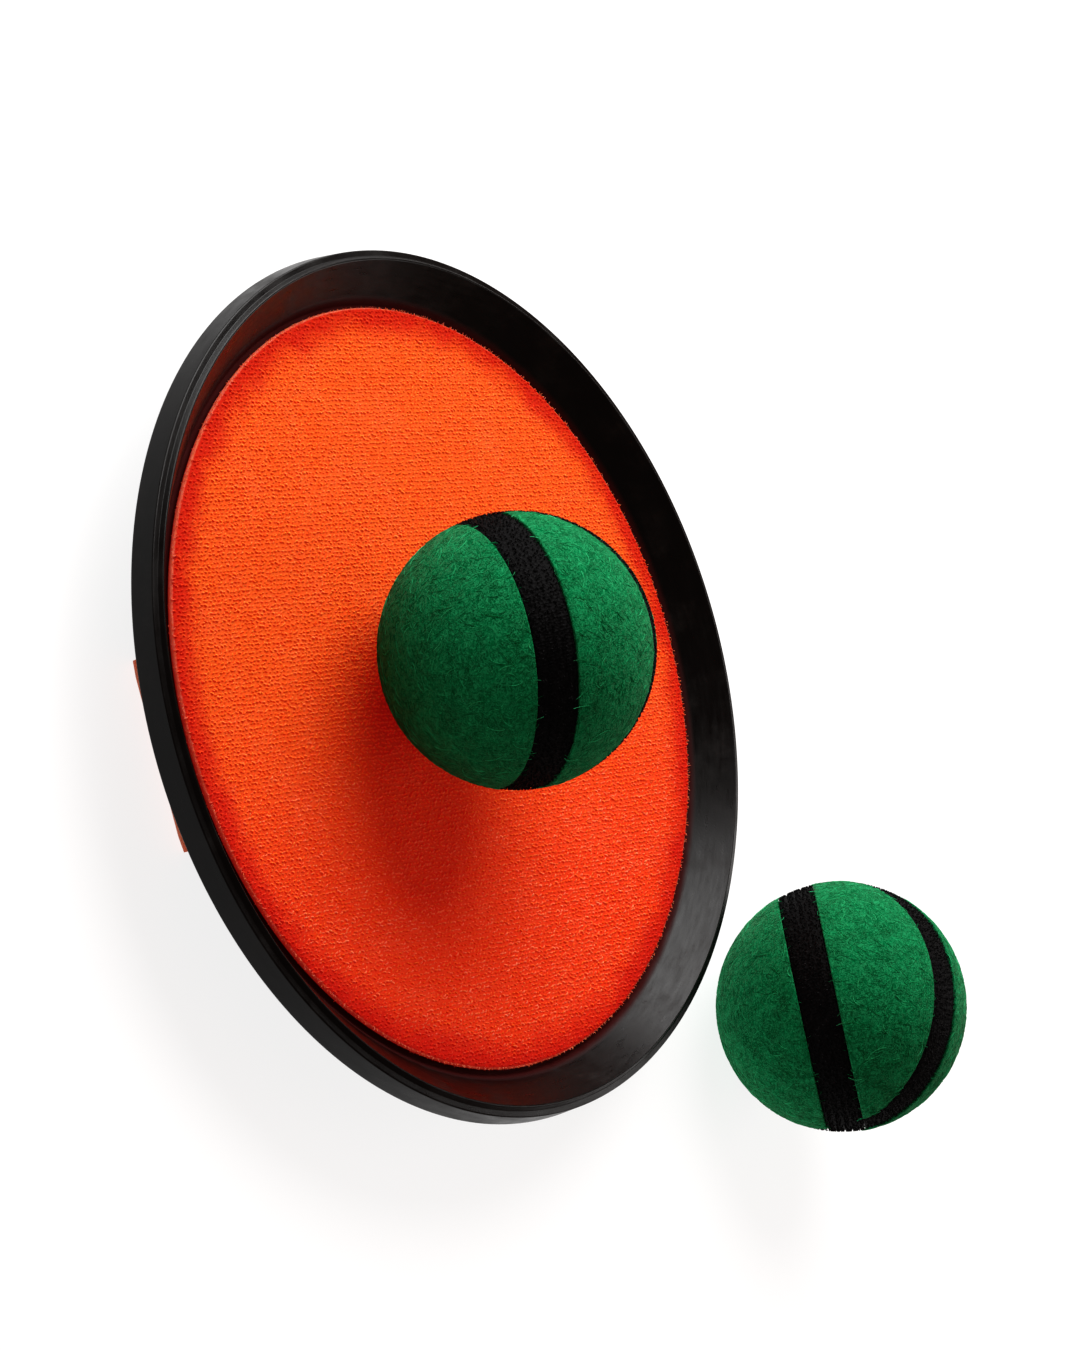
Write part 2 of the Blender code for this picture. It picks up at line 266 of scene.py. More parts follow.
# Paddle shell: one dish moulded in black polypropylene with a satin face. Its lip has a fine bead
# along each edge, a skirt turns down outside it, and two slots in the floor take the hand strap.
dish_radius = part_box("paddle_shell")[1].x
underside_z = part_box("paddle_shell")[0].z
floor_thickness = 0.0026
wall_thickness = 0.0020
wall_run = 0.0084
lip_rise = 0.0093
lip_width = 0.0023
lip_fall = 0.0012
bead_radius = 0.00040
valley_depth = 0.00050
valley_radius = 0.00025
skirt_depth = 0.0058
skirt_flare = 0.0008
skirt_thickness = 0.0018
floor_fillet = 0.0005
foot_fillet = 0.0005
underside_fillet = 0.0015
dish_steps = 256
fillet_steps = 5
merge_distance = 0.00001
floor_z = underside_z + floor_thickness
floor_radius = dish_radius - skirt_flare - lip_width - wall_run
strap_width = 0.042
webbing = 0.0014
slot_clearance = 0.0004
slot_land = 0.0070
strap_tuck = 0.024
strap_reach = floor_radius - slot_land
shell_black = paint(10, 10, 10)
dust_grey = paint(36, 35, 34)
# Painted shade and a painted reflection of the orange cloth, at the foot of the wall.
painted_corner_red = paint(70, 8, 6)
painted_corner_run = (0.0006, 0.0020)
painted_corner_drop = (0.0006, 0.0001)
grain_size = 0.0004
grain_depth = 0.000016
dust_size = 0.012
scuff_size = 0.0011
stroke_size = 0.0014
stroke_stretch = 0.02


def rounded_path(corners, steps):
    """Points along a path of (x, y, radius) corners, with an arc of that radius at each corner."""
    points = [Vector(corners[0][:2])]
    for before, corner, after in zip(corners, corners[1:], corners[2:]):
        here = Vector(corner[:2])
        to_last = (Vector(before[:2]) - here).normalized()
        to_next = (Vector(after[:2]) - here).normalized()
        half = to_last.angle(to_next) / 2
        centre = here + (to_last + to_next).normalized() * corner[2] / math.sin(half)
        start = here + to_last * corner[2] / math.tan(half) - centre
        end = here + to_next * corner[2] / math.tan(half) - centre
        swing = start.angle_signed(end)
        for k in range(steps + 1):
            points.append(centre + Matrix.Rotation(-swing * k / steps, 2) @ start)
    points.append(Vector(corners[-1][:2]))
    return points


def crossing(point_a, along_a, point_b, along_b):
    """Where two straight lines in the plane cross."""
    between = point_b - point_a
    share = between.x * along_b.y - between.y * along_b.x
    share /= along_a.x * along_b.y - along_a.y * along_b.x
    return point_a + along_a * share


def shell_section():
    """Half section of the dish, from the axis over the lip and back under the floor."""
    lip_outer = Vector((dish_radius - skirt_flare, floor_z + lip_rise - lip_fall))
    lip_inner = Vector((lip_outer.x - lip_width, floor_z + lip_rise))
    across = lip_outer - lip_inner
    valley = Vector((across.y, -across.x)).normalized() * valley_depth
    foot = Vector((dish_radius, lip_outer.y - skirt_depth))
    foot_inner = foot - Vector((skirt_thickness, 0.0))
    wall_base = Vector((floor_radius, floor_z))
    wall_along = (lip_inner - wall_base).normalized()
    wall_back = wall_base + Vector((wall_along.y, -wall_along.x)) * wall_thickness
    groove = crossing(foot_inner, lip_outer - foot, wall_back, wall_along)
    heel = crossing(Vector((0.0, underside_z)), Vector((1.0, 0.0)), wall_back, wall_along)
    return rounded_path([
        (0.0, floor_z, 0.0),
        (*wall_base, floor_fillet),
        (*lip_inner, bead_radius),
        (*(lip_inner + across / 2 + valley), valley_radius),
        (*lip_outer, bead_radius),
        (*foot, foot_fillet),
        (*foot_inner, foot_fillet),
        (*groove, foot_fillet),
        (*heel, underside_fillet),
        (0.0, underside_z, 0.0),
    ], fillet_steps)


def closed_mesh(bm, name):
    """The mesh of a finished closed form, with its faces turned outwards."""
    bmesh.ops.recalc_face_normals(bm, faces=bm.faces)
    mesh = bpy.data.meshes.new(name)
    bm.to_mesh(mesh)
    bm.free()
    return mesh


def smooth_over(mesh, sharpest):
    """Smooth shading, but for edges that bend by more than the given number of degrees."""
    mesh.shade_smooth()
    mesh.set_sharp_from_angle(angle=math.radians(sharpest))


def box_cutter(low, high):
    bm = bmesh.new()
    size = [b - a for a, b in zip(low, high)]
    middle = [(a + b) / 2 for a, b in zip(low, high)]
    bmesh.ops.create_cube(bm, size=1.0,
                          matrix=Matrix.Translation(middle) @ Matrix.Diagonal((*size, 1.0)))
    return new_piece("cutter", closed_mesh(bm, "cutter"))


def settled(piece):
    """A piece's mesh with its modifiers worked in and taken off."""
    bpy.context.view_layer.update()
    mesh = bpy.data.meshes.new_from_object(piece.evaluated_get(bpy.context.evaluated_depsgraph_get()))
    mesh.name = piece.name
    piece.modifiers.clear()
    piece.data = mesh
    return mesh


def spun(section, steps, ring=False):
    """A section of (radius, height) points turned once round the Z axis. A ring's section is closed."""
    bm = bmesh.new()
    chain = [bm.verts.new((r, 0.0, z)) for r, z in section]
    following = chain[1:] + chain[:1] if ring else chain[1:]
    edges = [bm.edges.new(pair) for pair in zip(chain, following)]
    bmesh.ops.spin(bm, geom=chain + edges, axis=(0.0, 0.0, 1.0), cent=(0.0, 0.0, 0.0),
                   angle=math.tau, steps=steps, use_merge=True)
    bmesh.ops.remove_doubles(bm, verts=bm.verts, dist=merge_distance)
    return bm


def cut_slots(shell):
    """The strap's two slots, each with a shallow recess beside it for the strap's tucked end."""
    half_width = strap_width / 2 + slot_clearance
    outside = strap_reach + slot_clearance
    low_z = underside_z - floor_thickness
    recess_z = floor_z - webbing - slot_clearance
    for side in (-1, 1):
        for inside, base_z in ((strap_reach - webbing - slot_clearance, low_z),
                               (strap_reach - strap_tuck - slot_clearance, recess_z)):
            ys = sorted((side * inside, side * outside))
            cutter = box_cutter((-half_width, ys[0], base_z),
                                (half_width, ys[1], floor_z + floor_thickness))
            opening = shell.modifiers.new("opening", "BOOLEAN")
            opening.object = cutter
            settled(shell)
            bpy.data.objects.remove(cutter)


def black_plastic():
    """Satin black with a moulded grain, faint dust and scuffs. A dark red band at the corner between
    the wall and the cloth is painted shade and a painted reflection of the orange cloth."""
    material, tree = finish("black_plastic")
    place = tree.place()
    grain = tree.cloud(place, grain_size, 3.0, 0.6)
    dust = tree.rise(tree.cloud(place, dust_size, 4.0, 0.65), 0.46, 0.74)
    streaks = tree.add("ShaderNodeMapping", {"Vector": place, "Rotation": (0.0, 0.0, 0.6),
                                             "Scale": (1.0, 0.12, 1.0)})
    scuffs = tree.rise(tree.cloud(streaks, scuff_size, 2.0, 0.5, 0.4), 0.66, 0.76)
    marks = scuffs * dust
    reach = tree.reach(place)
    x, y, height = tree.parts(place)
    # Painted shade and reflection: the foot of the wall, beside the cloth, is painted dark red.
    painted_corner = 1 - tree.rise(reach, *(floor_radius + run for run in painted_corner_run))
    painted_corner = painted_corner * tree.rise(height, *(floor_z - drop for drop in painted_corner_drop))
    around = tree.vector(x / reach * stroke_stretch, y / reach * stroke_stretch, reach + height)
    strokes = tree.cloud(around, stroke_size, 3.0, 0.6)
    colour = tree.blend(dust * strokes + marks * 0.4, shell_black, dust_grey)
    tree.surface({
        "Base Color": tree.blend(painted_corner * 0.9, colour, painted_corner_red),
        "Roughness": 0.16 + dust * 0.12 + strokes * 0.32 + marks * 0.20 + painted_corner * 0.5,
        "Specular IOR Level": 0.32,
        "Normal": tree.bump(grain - marks * 0.5 + strokes * 0.8, grain_depth),
    })
    return material


shell = new_piece("black_shell", closed_mesh(spun(shell_section(), dish_steps), "black_shell"))
cut_slots(shell)
dress(shell, black_plastic())
smooth_over(shell.data, 40.0)
even = shell.modifiers.new("even_shading", "WEIGHTED_NORMAL")
even.keep_sharp = True
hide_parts("paddle_shell")
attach(shell, "root")


# Loop face: a disc of orange knitted nylon glued to the dish's floor. The knit is a flat ground
# whose yarn stands up in soft loops, in straight rows, and the cut edge shows a pale fringe.
face_radius = floor_radius - 0.0009
ground_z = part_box("loop_face")[0].z
ground_thickness = 0.0017
face_z = ground_z + ground_thickness
ground_steps = 180
ground_rings = 40
row_pitch = 0.0009
loop_pitch = 0.00116
loop_span = 0.00105
loop_height = 0.00034
loop_sink = 0.00025
yarn = 0.00046
strand_sides = 3
fringe_hairs = 2200
fringe_length = 0.00055
fringe_hair = 0.00016
fringe_sink = 0.0003
row_turn = math.radians(-5.0)
middle_share = 0.27
loop_orange = paint(220, 126, 46)
loop_shade_orange = paint(202, 66, 26)
tip_highlight_pink = paint(240, 156, 120)
side_red = paint(226, 78, 36)
edge_shade_red = paint(176, 26, 16)
edge_pink = paint(244, 170, 138)
glow_red = paint(255, 46, 44)
sheen_orange = paint(255, 150, 90)
yarn_depth = 0.0004
hair_depth = 0.0009
blotch_size = 0.011
fluff_size = 0.0006
fluff_depth = 0.00012
side_from, side_to = -0.015, 0.060
edge_shade_ring = (0.0095, 0.0010)
pale_ring = (0.0006, 0.0002)


class Weave(Tree):
    """A Geometry Nodes tree with named inputs, which ends in one mesh with one material."""

    def __init__(self, name, inputs):
        super().__init__(bpy.data.node_groups.new(name, "GeometryNodeTree"))
        interface = self.nodes.interface
        interface.new_socket("Geometry", in_out="OUTPUT", socket_type="NodeSocketGeometry")
        self.keys = {"Geometry": interface.new_socket("Geometry", in_out="INPUT",
                                                      socket_type="NodeSocketGeometry").identifier}
        for label, value in inputs.items():
            kind = "NodeSocketInt" if isinstance(value, int) else "NodeSocketFloat"
            socket = interface.new_socket(label, in_out="INPUT", socket_type=kind)
            socket.default_value = value
            self.keys[label] = socket.identifier
        self.entry = self.nodes.nodes.new("NodeGroupInput")

    def size(self, label):
        return Socket(self, self.entry.outputs[label])

    def random(self, low, high, seed):
        """A number for each point or instance, the same in every run."""
        return self.add("FunctionNodeRandomValue", {2: low, 3: high, "Seed": seed}, 1,
                        data_type="FLOAT")

    def compare(self, value, operation, limit):
        return self.add("FunctionNodeCompare", {0: value, 1: limit}, data_type="FLOAT",
                        operation=operation)

    def points(self, count, place):
        """A number of points, moved to the places that are worked out from their index."""
        points = self.add("GeometryNodePoints", {"Count": count})
        return self.add("GeometryNodeSetPosition", {"Geometry": points, "Position": place})

    def without(self, points, selection):
        return self.add("GeometryNodeDeleteGeometry", {"Geometry": points, "Selection": selection},
                        domain="POINT")

    def strand(self, start, middle, end, thickness, steps):
        """A short bent strand with closed ends."""
        path = self.add("GeometryNodeCurveQuadraticBezier",
                        {"Resolution": steps, "Start": start, "Middle": middle, "End": end})
        ring = self.add("GeometryNodeCurvePrimitiveCircle",
                        {"Resolution": strand_sides, "Radius": thickness / 2})
        return self.add("GeometryNodeCurveToMesh",
                        {"Curve": path, "Profile Curve": ring, "Fill Caps": True})

    def close(self, instances, material, least_tint=0.0):
        """The instances made real, with a tint of up to 1 for each, and given their material."""
        tint = self.random(least_tint, 1.0, seed=90)
        tinted = self.add("GeometryNodeStoreNamedAttribute",
                          {"Geometry": instances, "Name": "tint", "Value": tint},
                          data_type="FLOAT", domain="INSTANCE")
        real = self.add("GeometryNodeRealizeInstances", {"Geometry": tinted})
        smooth = self.add("GeometryNodeSetShadeSmooth", {"Geometry": real, "Shade Smooth": True})
        dressed = self.add("GeometryNodeSetMaterial", {"Geometry": smooth, "Material": material})
        self.add("NodeGroupOutput", {0: dressed})

    def grow(self, name, mesh=None, **changes):
        """A plain mesh object that this tree makes, with some of its named inputs changed."""
        piece = new_piece(name, mesh or bpy.data.meshes.new(name))
        modifier = piece.modifiers.new(name, "NODES")
        modifier.node_group = self.nodes
        for label, value in changes.items():
            modifier[self.keys[label]] = value
        settled(piece)
        return piece


def loop_yarn(name, top, low, depth):
    """Nylon yarn, brighter on top of the loops, with painted shade in deep orange down between them.
    It is redder at one side, where the painted shade is stronger and more loop tips carry a pale
    painted highlight. A painted shade ring darkens it near the edge, by the wall, and a faint
    painted glow stands for the light that passes through it."""
    material, tree = finish(name)
    place = tree.place()
    reach = tree.reach(place)
    x, _, height = tree.parts(place)
    side = tree.rise(x, side_from, side_to)
    blotches = tree.cloud(place, blotch_size, 4.0, 0.6)
    fluff = tree.cloud(place, fluff_size, 3.0, 0.6, 0.6)
    tint = tree.add("ShaderNodeAttribute", out="Fac", attribute_name="tint")
    # Painted shade: the yarn darkens to deep orange down between the loops, more so towards one side.
    lit = tree.rise(height, face_z - 0.0001, face_z + depth)
    lit = 1 - (1 - lit) * (side * 0.5 + 0.5)
    colour = tree.blend(lit, low, top)
    colour = tree.blend(side * 0.35, colour, side_red)
    # Random paler tone, and a painted highlight in pale pink on the tips of some loops, stronger to one
    # side.
    tone_and_highlight = (blotches - 0.5) * 0.4 + (fluff - 0.5) * 0.3 + tint * tint * (side * 0.6 + 0.15)
    colour = tree.blend(tone_and_highlight, colour, tip_highlight_pink)
    # Painted shade: a dark red ring near the cloth's edge, where the wall shades it.
    shade = tree.rise(reach + (blotches - 0.5) * 0.012, *(face_radius - inset for inset in edge_shade_ring))
    colour = tree.blend(shade * 0.85, colour, edge_shade_red)
    fringe = tree.rise(reach + (fluff - 0.5) * 0.0006, *(face_radius - inset for inset in pale_ring))
    tree.surface({
        "Base Color": tree.blend(fringe * 0.55, colour, edge_pink),
        "Emission Color": glow_red,
        "Emission Strength": 0.14,
        "Roughness": 0.72 + fluff * 0.2,
        "Specular IOR Level": 0.12,
        "Subsurface Weight": 0.5,
        "Subsurface Radius": (1.0, 0.25, 0.1),
        "Subsurface Scale": 0.0012,
        "Sheen Weight": 0.08,
        "Sheen Roughness": 0.5,
        "Sheen Tint": sheen_orange,
        "Normal": tree.bump(fluff, fluff_depth),
    })
    return material


def ground_disc():
    """The knit's ground, a closed disc with a rounded edge, made ring by ring."""
    rounding = ground_thickness / 2
    turns = [math.tau * k / ground_steps for k in range(ground_steps)]
    rings = [(face_radius * k / ground_rings, face_z) for k in range(1, ground_rings)]
    rings.append((face_radius - rounding, face_z))
    rings += [(face_radius - rounding * (1 - math.cos(a)), ground_z + rounding * (1 + math.sin(a)))
              for a in (math.radians(50), 0.0, math.radians(-50))]
    rings.append((face_radius - rounding, ground_z))
    bm = bmesh.new()
    loops = [[bm.verts.new((r * math.cos(turn), r * math.sin(turn), z)) for turn in turns]
             for r, z in rings]
    for inner, outer in zip(loops, loops[1:]):
        for k in range(ground_steps):
            after = (k + 1) % ground_steps
            bm.faces.new((inner[k], outer[k], outer[after], inner[after]))
    for loop, z in ((loops[0], face_z), (loops[-1], ground_z)):
        hub = bm.verts.new((0.0, 0.0, z))
        for k in range(ground_steps):
            bm.faces.new((hub, loop[k], loop[(k + 1) % ground_steps]))
    mesh = closed_mesh(bm, "orange_ground")
    mesh.shade_smooth()
    return mesh


def loop_rows():
    """Rows of small leaning arches of yarn. Every second row is lower and set half a loop along."""
    tree = Weave("loop_rows", {
        "Face Radius": face_radius, "First Row": 0, "Rows": 1, "Row Pitch": row_pitch,
        "Loops": math.ceil(2 * face_radius / loop_pitch), "Loop Pitch": loop_pitch,
        "Loop Span": loop_span, "Loop Height": loop_height, "Sink": loop_sink, "Yarn": yarn})
    loops = tree.size("Loops")
    index = tree.add("GeometryNodeInputIndex")
    row = (index / loops).math("FLOOR")
    column = index - row * loops
    shift = (row * 0.5).math("FRACT")
    across = row + tree.size("First Row") + tree.random(-0.24, 0.24, seed=11)
    along = column + shift - loops * 0.5 + tree.random(-0.26, 0.26, seed=12)
    flat = tree.vector(across * tree.size("Row Pitch"), along * tree.size("Loop Pitch"), 0.0)
    placed = tree.points(tree.size("Rows") * loops, flat)
    half = tree.size("Loop Span") * 0.5
    reach = tree.length(tree.add("GeometryNodeInputPosition"))
    kept = tree.without(placed, tree.compare(reach, "GREATER_THAN", tree.size("Face Radius") - half))
    foot = -1.0 * tree.size("Sink")
    crown = tree.size("Loop Height") * 2.0
    arch = tree.strand(tree.vector(0.0, -1.0 * half, foot), tree.vector(0.0, 0.0, crown),
                       tree.vector(0.0, half, foot), tree.size("Yarn"), 3)
    lean = tree.vector(0.0, tree.random(-0.45, 0.45, seed=13), tree.random(-0.70, 0.70, seed=14))
    grown = tree.random(0.86, 1.18, seed=15) - shift * 0.30
    stood = tree.add("GeometryNodeInstanceOnPoints", {
        "Points": kept, "Instance": arch, "Rotation": lean, "Scale": tree.vector(grown, grown, grown)})
    turned = tree.add("GeometryNodeTransform", {
        "Geometry": stood, "Translation": (0.0, 0.0, face_z), "Rotation": (0.0, 0.0, row_turn)})
    tree.close(turned, loop_yarn("orange_loops", loop_orange, loop_shade_orange, yarn_depth))
    return tree


def edge_fringe():
    """Cut ends of yarn that stand out all round the edge of the knit."""
    tree = Weave("edge_fringe", {
        "Hairs": fringe_hairs, "Radius": face_radius - fringe_sink, "Length": fringe_length,
        "Thickness": fringe_hair, "Depth": ground_thickness * 0.8})
    step = tree.add("GeometryNodeInputIndex") + tree.random(-0.5, 0.5, seed=21)
    angle = step * math.tau / tree.size("Hairs")
    radius = tree.size("Radius")
    ring = tree.vector(radius * angle.math("COSINE"), radius * angle.math("SINE"),
                       face_z - tree.size("Depth") * tree.random(0.0, 1.0, seed=22))
    placed = tree.points(tree.size("Hairs"), ring)
    length = tree.size("Length")
    hair = tree.strand((0.0, 0.0, 0.0), tree.vector(length * 0.6, length * 0.25, length * 0.3),
                       tree.vector(length, 0.0, 0.0), tree.size("Thickness"), 2)
    turn = tree.vector(0.0, tree.random(-1.2, 0.1, seed=23), angle + tree.random(-0.8, 0.8, seed=24))
    grown = tree.random(0.4, 1.1, seed=25)
    stood = tree.add("GeometryNodeInstanceOnPoints", {
        "Points": placed, "Instance": hair, "Rotation": turn, "Scale": tree.vector(grown, grown, grown)})
    tree.close(stood, loop_yarn("orange_hairs", edge_pink, loop_orange, hair_depth))
    return tree


ground = new_piece("orange_ground", ground_disc(),
                   loop_yarn("orange_knit", loop_orange, loop_shade_orange, yarn_depth))
half_rows = math.ceil(face_radius / row_pitch)
middle_rows = math.ceil(half_rows * middle_share)
thirds = [-half_rows, -middle_rows, middle_rows, half_rows + 1]
pile_tree = loop_rows()
pile = [pile_tree.grow(f"orange_loops_{k + 1}", **{"First Row": start, "Rows": end - start})
        for k, (start, end) in enumerate(zip(thirds, thirds[1:]))]
pile.append(edge_fringe().grow("orange_fringe"))
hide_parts("loop_face")
for piece in [ground, *pile]:
    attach(piece, "root")


# Hand strap: stiff orange polypropylene webbing under the dish. Its ends come up through the slots,
# fold inwards over the floor's edge and are held under the glued loop face.
strap_corner = 0.008
strap_fold = 0.0017
strap_bend_steps = 10
strap_across = 12
selvedge = 0.0004
rib_pitch = 0.0016
thread_pitch = 0.0011
thread_slant = 0.0032
selvedge_width = (0.0022, 0.0014)
fuzz_size = 0.0004
wear_size = 0.009
webbing_depth = 0.00035
# The webbing's orange is toned darker for the shade under the dish: painted shade.
shaded_webbing_orange = paint(204, 90, 32)
webbing_dark = paint(150, 48, 14)
webbing_worn = paint(255, 160, 70)
selvedge_orange = paint(214, 78, 14)


def strap_path():
    """The middle line of the webbing in the YZ plane, from one tucked end to the other."""
    inset = webbing / 2
    reach = strap_reach - inset
    top = floor_z - inset
    tuck = strap_reach - strap_tuck
    half = [(-tuck, top, 0.0), (-reach, top, strap_fold - inset), (-reach, inset, strap_corner - inset)]
    return rounded_path(half + [(-y, z, radius) for y, z, radius in reversed(half)], strap_bend_steps)


def strap_mesh():
    """A flat tube of webbing with thinner, rounded selvedges. Its UV map is in metres."""
    path = strap_path()
    lengths = [0.0]
    for a, b in zip(path, path[1:]):
        lengths.append(lengths[-1] + (b - a).length)
    section = [(strap_width * (k / strap_across - 0.5), webbing / 2) for k in range(1, strap_across)]
    section = [(-strap_width / 2, selvedge)] + section + [(strap_width / 2, selvedge)]
    section += [(x, -z) for x, z in reversed(section)]
    bm = bmesh.new()
    uv = bm.loops.layers.uv.new("along")
    rings = []
    for k, point in enumerate(path):
        before = path[max(k - 1, 0)]
        after = path[min(k + 1, len(path) - 1)]
        ahead = (after - before).normalized()
        out = Vector((ahead.y, -ahead.x))
        rings.append([bm.verts.new((x, *(point + out * z))) for x, z in section])
    for k, (ring, following) in enumerate(zip(rings, rings[1:])):
        for j in range(len(section)):
            i = (j + 1) % len(section)
            face = bm.faces.new((ring[j], ring[i], following[i], following[j]))
            for corner, place in zip(face.loops, ((j, k), (i, k), (i, k + 1), (j, k + 1))):
                corner[uv].uv = (section[place[0]][0], lengths[place[1]])
    bm.faces.new(rings[0])
    bm.faces.new(rings[-1])
    mesh = closed_mesh(bm, "orange_strap")
    smooth_over(mesh, 50.0)
    return mesh


def strap_webbing():
    """Coarse webbing: ribs across the strap, crossed by slanting warp threads, and firm selvedges."""
    material, tree = finish("orange_webbing")
    place = tree.add("ShaderNodeUVMap", uv_map="along")
    across, along, _ = tree.parts(place)
    rib = (along / rib_pitch * math.tau).math("SINE")
    thread = ((across / thread_pitch + along / thread_slant) * math.tau).math("SINE")
    height = rib * thread * 0.25 + 0.5
    fuzz = tree.cloud(place, fuzz_size, 3.0, 0.6)
    worn = tree.cloud(place, wear_size, 3.0, 0.6)
    edge = tree.rise(across.math("ABSOLUTE"), *(strap_width / 2 - inset for inset in selvedge_width))
    colour = tree.blend(height * 0.55 + fuzz * 0.35, webbing_dark, shaded_webbing_orange)
    colour = tree.blend(worn * 0.22, colour, webbing_worn)
    tree.surface({
        "Base Color": tree.blend(edge * 0.35, colour, selvedge_orange),
        "Roughness": 0.55 + fuzz * 0.25,
        "Specular IOR Level": 0.35,
        "Sheen Weight": 0.15,
        "Normal": tree.bump(height + fuzz * 0.3, webbing_depth),
    })
    return material


strap = new_piece("orange_strap", strap_mesh(), strap_webbing())
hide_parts("hand_strap")
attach(strap, "root")


# Balls: on each, a whole hook band and two half bands cross twice, and four felt panels fill the
# spaces between them, all glued to a round core. Each ball is made about its own centre, with the
# line through both crossings parallel to Z, then turned and put in its place.
ball_radius = 0.0305
felt_thickness = 0.0019
core_radius = ball_radius - felt_thickness
band_thickness = 0.0015
band_width = 0.0088
band_angle = math.radians(56.0)
band_shifts = (-0.0050, 0.0015)
groove = 0.00012
half_band_gap = 0.00012
ball_poles = {"ball_1": (178.6, 82.8, 152.9), "ball_2": (159.5, 100.1, 122.6)}


def ball_place(name):
    """The turn and place of a ball: the azimuth and tilt of its pole, its turn about it, its centre."""
    low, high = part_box(name + "_core")
    azimuth, tilt, spin = (math.radians(angle) for angle in ball_poles[name])
    return (Matrix.Translation((low + high) / 2) @ Matrix.Rotation(azimuth, 4, "Z")
            @ Matrix.Rotation(tilt, 4, "Y") @ Matrix.Rotation(spin, 4, "Z"))


# Cores: the hidden round body of each ball, moulded in pale plastic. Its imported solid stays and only
# gets its finish.
smear_size = 0.006
chalk_size = 0.0012
chalk_depth = 0.00004
core_white = paint(206, 204, 196)
glue_yellow = paint(226, 212, 170)


def pale_core():
    """Chalky pale plastic with smears of dried glue."""
    material, tree = finish("pale_core")
    place = tree.place()
    glue = tree.rise(tree.cloud(place, smear_size, 4.0, 0.6, 0.5), 0.45, 0.7)
    tree.surface({
        "Base Color": tree.blend(glue * 0.6, core_white, glue_yellow),
        "Roughness": 0.62 - glue * 0.25,
        "Normal": tree.bump(tree.cloud(place, chalk_size, 3.0) + glue, chalk_depth),
    })
    return material


core_finish = pale_core()
for name in ball_poles:
    dress(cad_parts[name + "_core"], core_finish)


# Hook bands: black hook tape, glued on. A thin nylon tape follows the ball, with a narrow plain
# selvedge along each edge, and between them rows of tiny curved hooks lean over to both sides.
band_steps = 160
hook_pitch = 0.00088
hook_rows = 9
hook_row_pitch = 0.00094
hook_height = 0.00036
hook_reach = 0.00040
hook_thread = 0.00024
hook_sink = 0.0001
hook_room = 0.0001
tape_edge = 0.00025
tape_top = core_radius + band_thickness - hook_room
cross_weave = 0.0007
weave_depth = 0.00020
lint_size = 0.0016
tape_black = paint(8, 8, 9)
tape_grey = paint(44, 44, 46)
hook_grey = paint(84, 84, 86)


def tape_section(shift):
    """Section of the tape across its width, as (radius, offset): a domed top with rounded edges."""
    half = band_width / 2
    across = [half - tape_edge * share for share in (0.0, 0.15, 0.5, 1.0)] + [half * 0.6, half * 0.3, 0.0]
    drops = [1.0, 0.45, 0.12, 0.0, 0.0, 0.0, 0.0]
    across += [-z for z in reversed(across[:-1])]
    drops += reversed(drops[:-1])
    top = [(math.sqrt(tape_top ** 2 - (shift + z) ** 2) - drop * (tape_top - core_radius) * 0.25, shift + z)
           for z, drop in zip(across, drops)]
    under = [(math.sqrt(core_radius ** 2 - (shift + z) ** 2), shift + z)
             for z in (-half, -half * 0.5, 0.0, half * 0.5, half)]
    return top + under


def tape_mesh(name, turn_about_pole, shift, side):
    """A band as a closed ring, or the part of it on one side of the whole band."""
    bm = spun(tape_section(shift), band_steps, ring=True)
    upright = Matrix.Rotation(turn_about_pole, 4, "Z") @ Matrix.Rotation(-math.pi / 2, 4, "X")
    bmesh.ops.transform(bm, verts=bm.verts, matrix=upright)
    if side:
        edge_y = band_shifts[0] + side * (band_width / 2 + half_band_gap)
        cut = bmesh.ops.bisect_plane(
            bm, geom=bm.verts[:] + bm.edges[:] + bm.faces[:], dist=merge_distance,
            plane_co=(0.0, edge_y, 0.0), plane_no=(0.0, side, 0.0), clear_inner=True)
        bmesh.ops.edgenet_fill(bm, edges=[e for e in cut["geom_cut"] if isinstance(e, bmesh.types.BMEdge)])
    mesh = closed_mesh(bm, name)
    smooth_over(mesh, 55.0)
    return mesh


def black_nylon(name, grey):
    """Black nylon with a fine cross weave, greyed here and there by dust and fluff."""
    material, tree = finish(name)
    place = tree.place()
    weave = tree.add("ShaderNodeTexVoronoi",
                     {"Vector": place, "Scale": 1 / cross_weave, "Randomness": 0.6})
    dust = tree.rise(tree.cloud(place, lint_size, 4.0, 0.7), 0.5, 0.72)
    tree.surface({
        "Base Color": tree.blend(dust * 0.6, tape_black, grey),
        "Roughness": 0.70 + dust * 0.2,
        "Specular IOR Level": 0.2,
        "Normal": tree.bump(weave, weave_depth),
    })
    return material


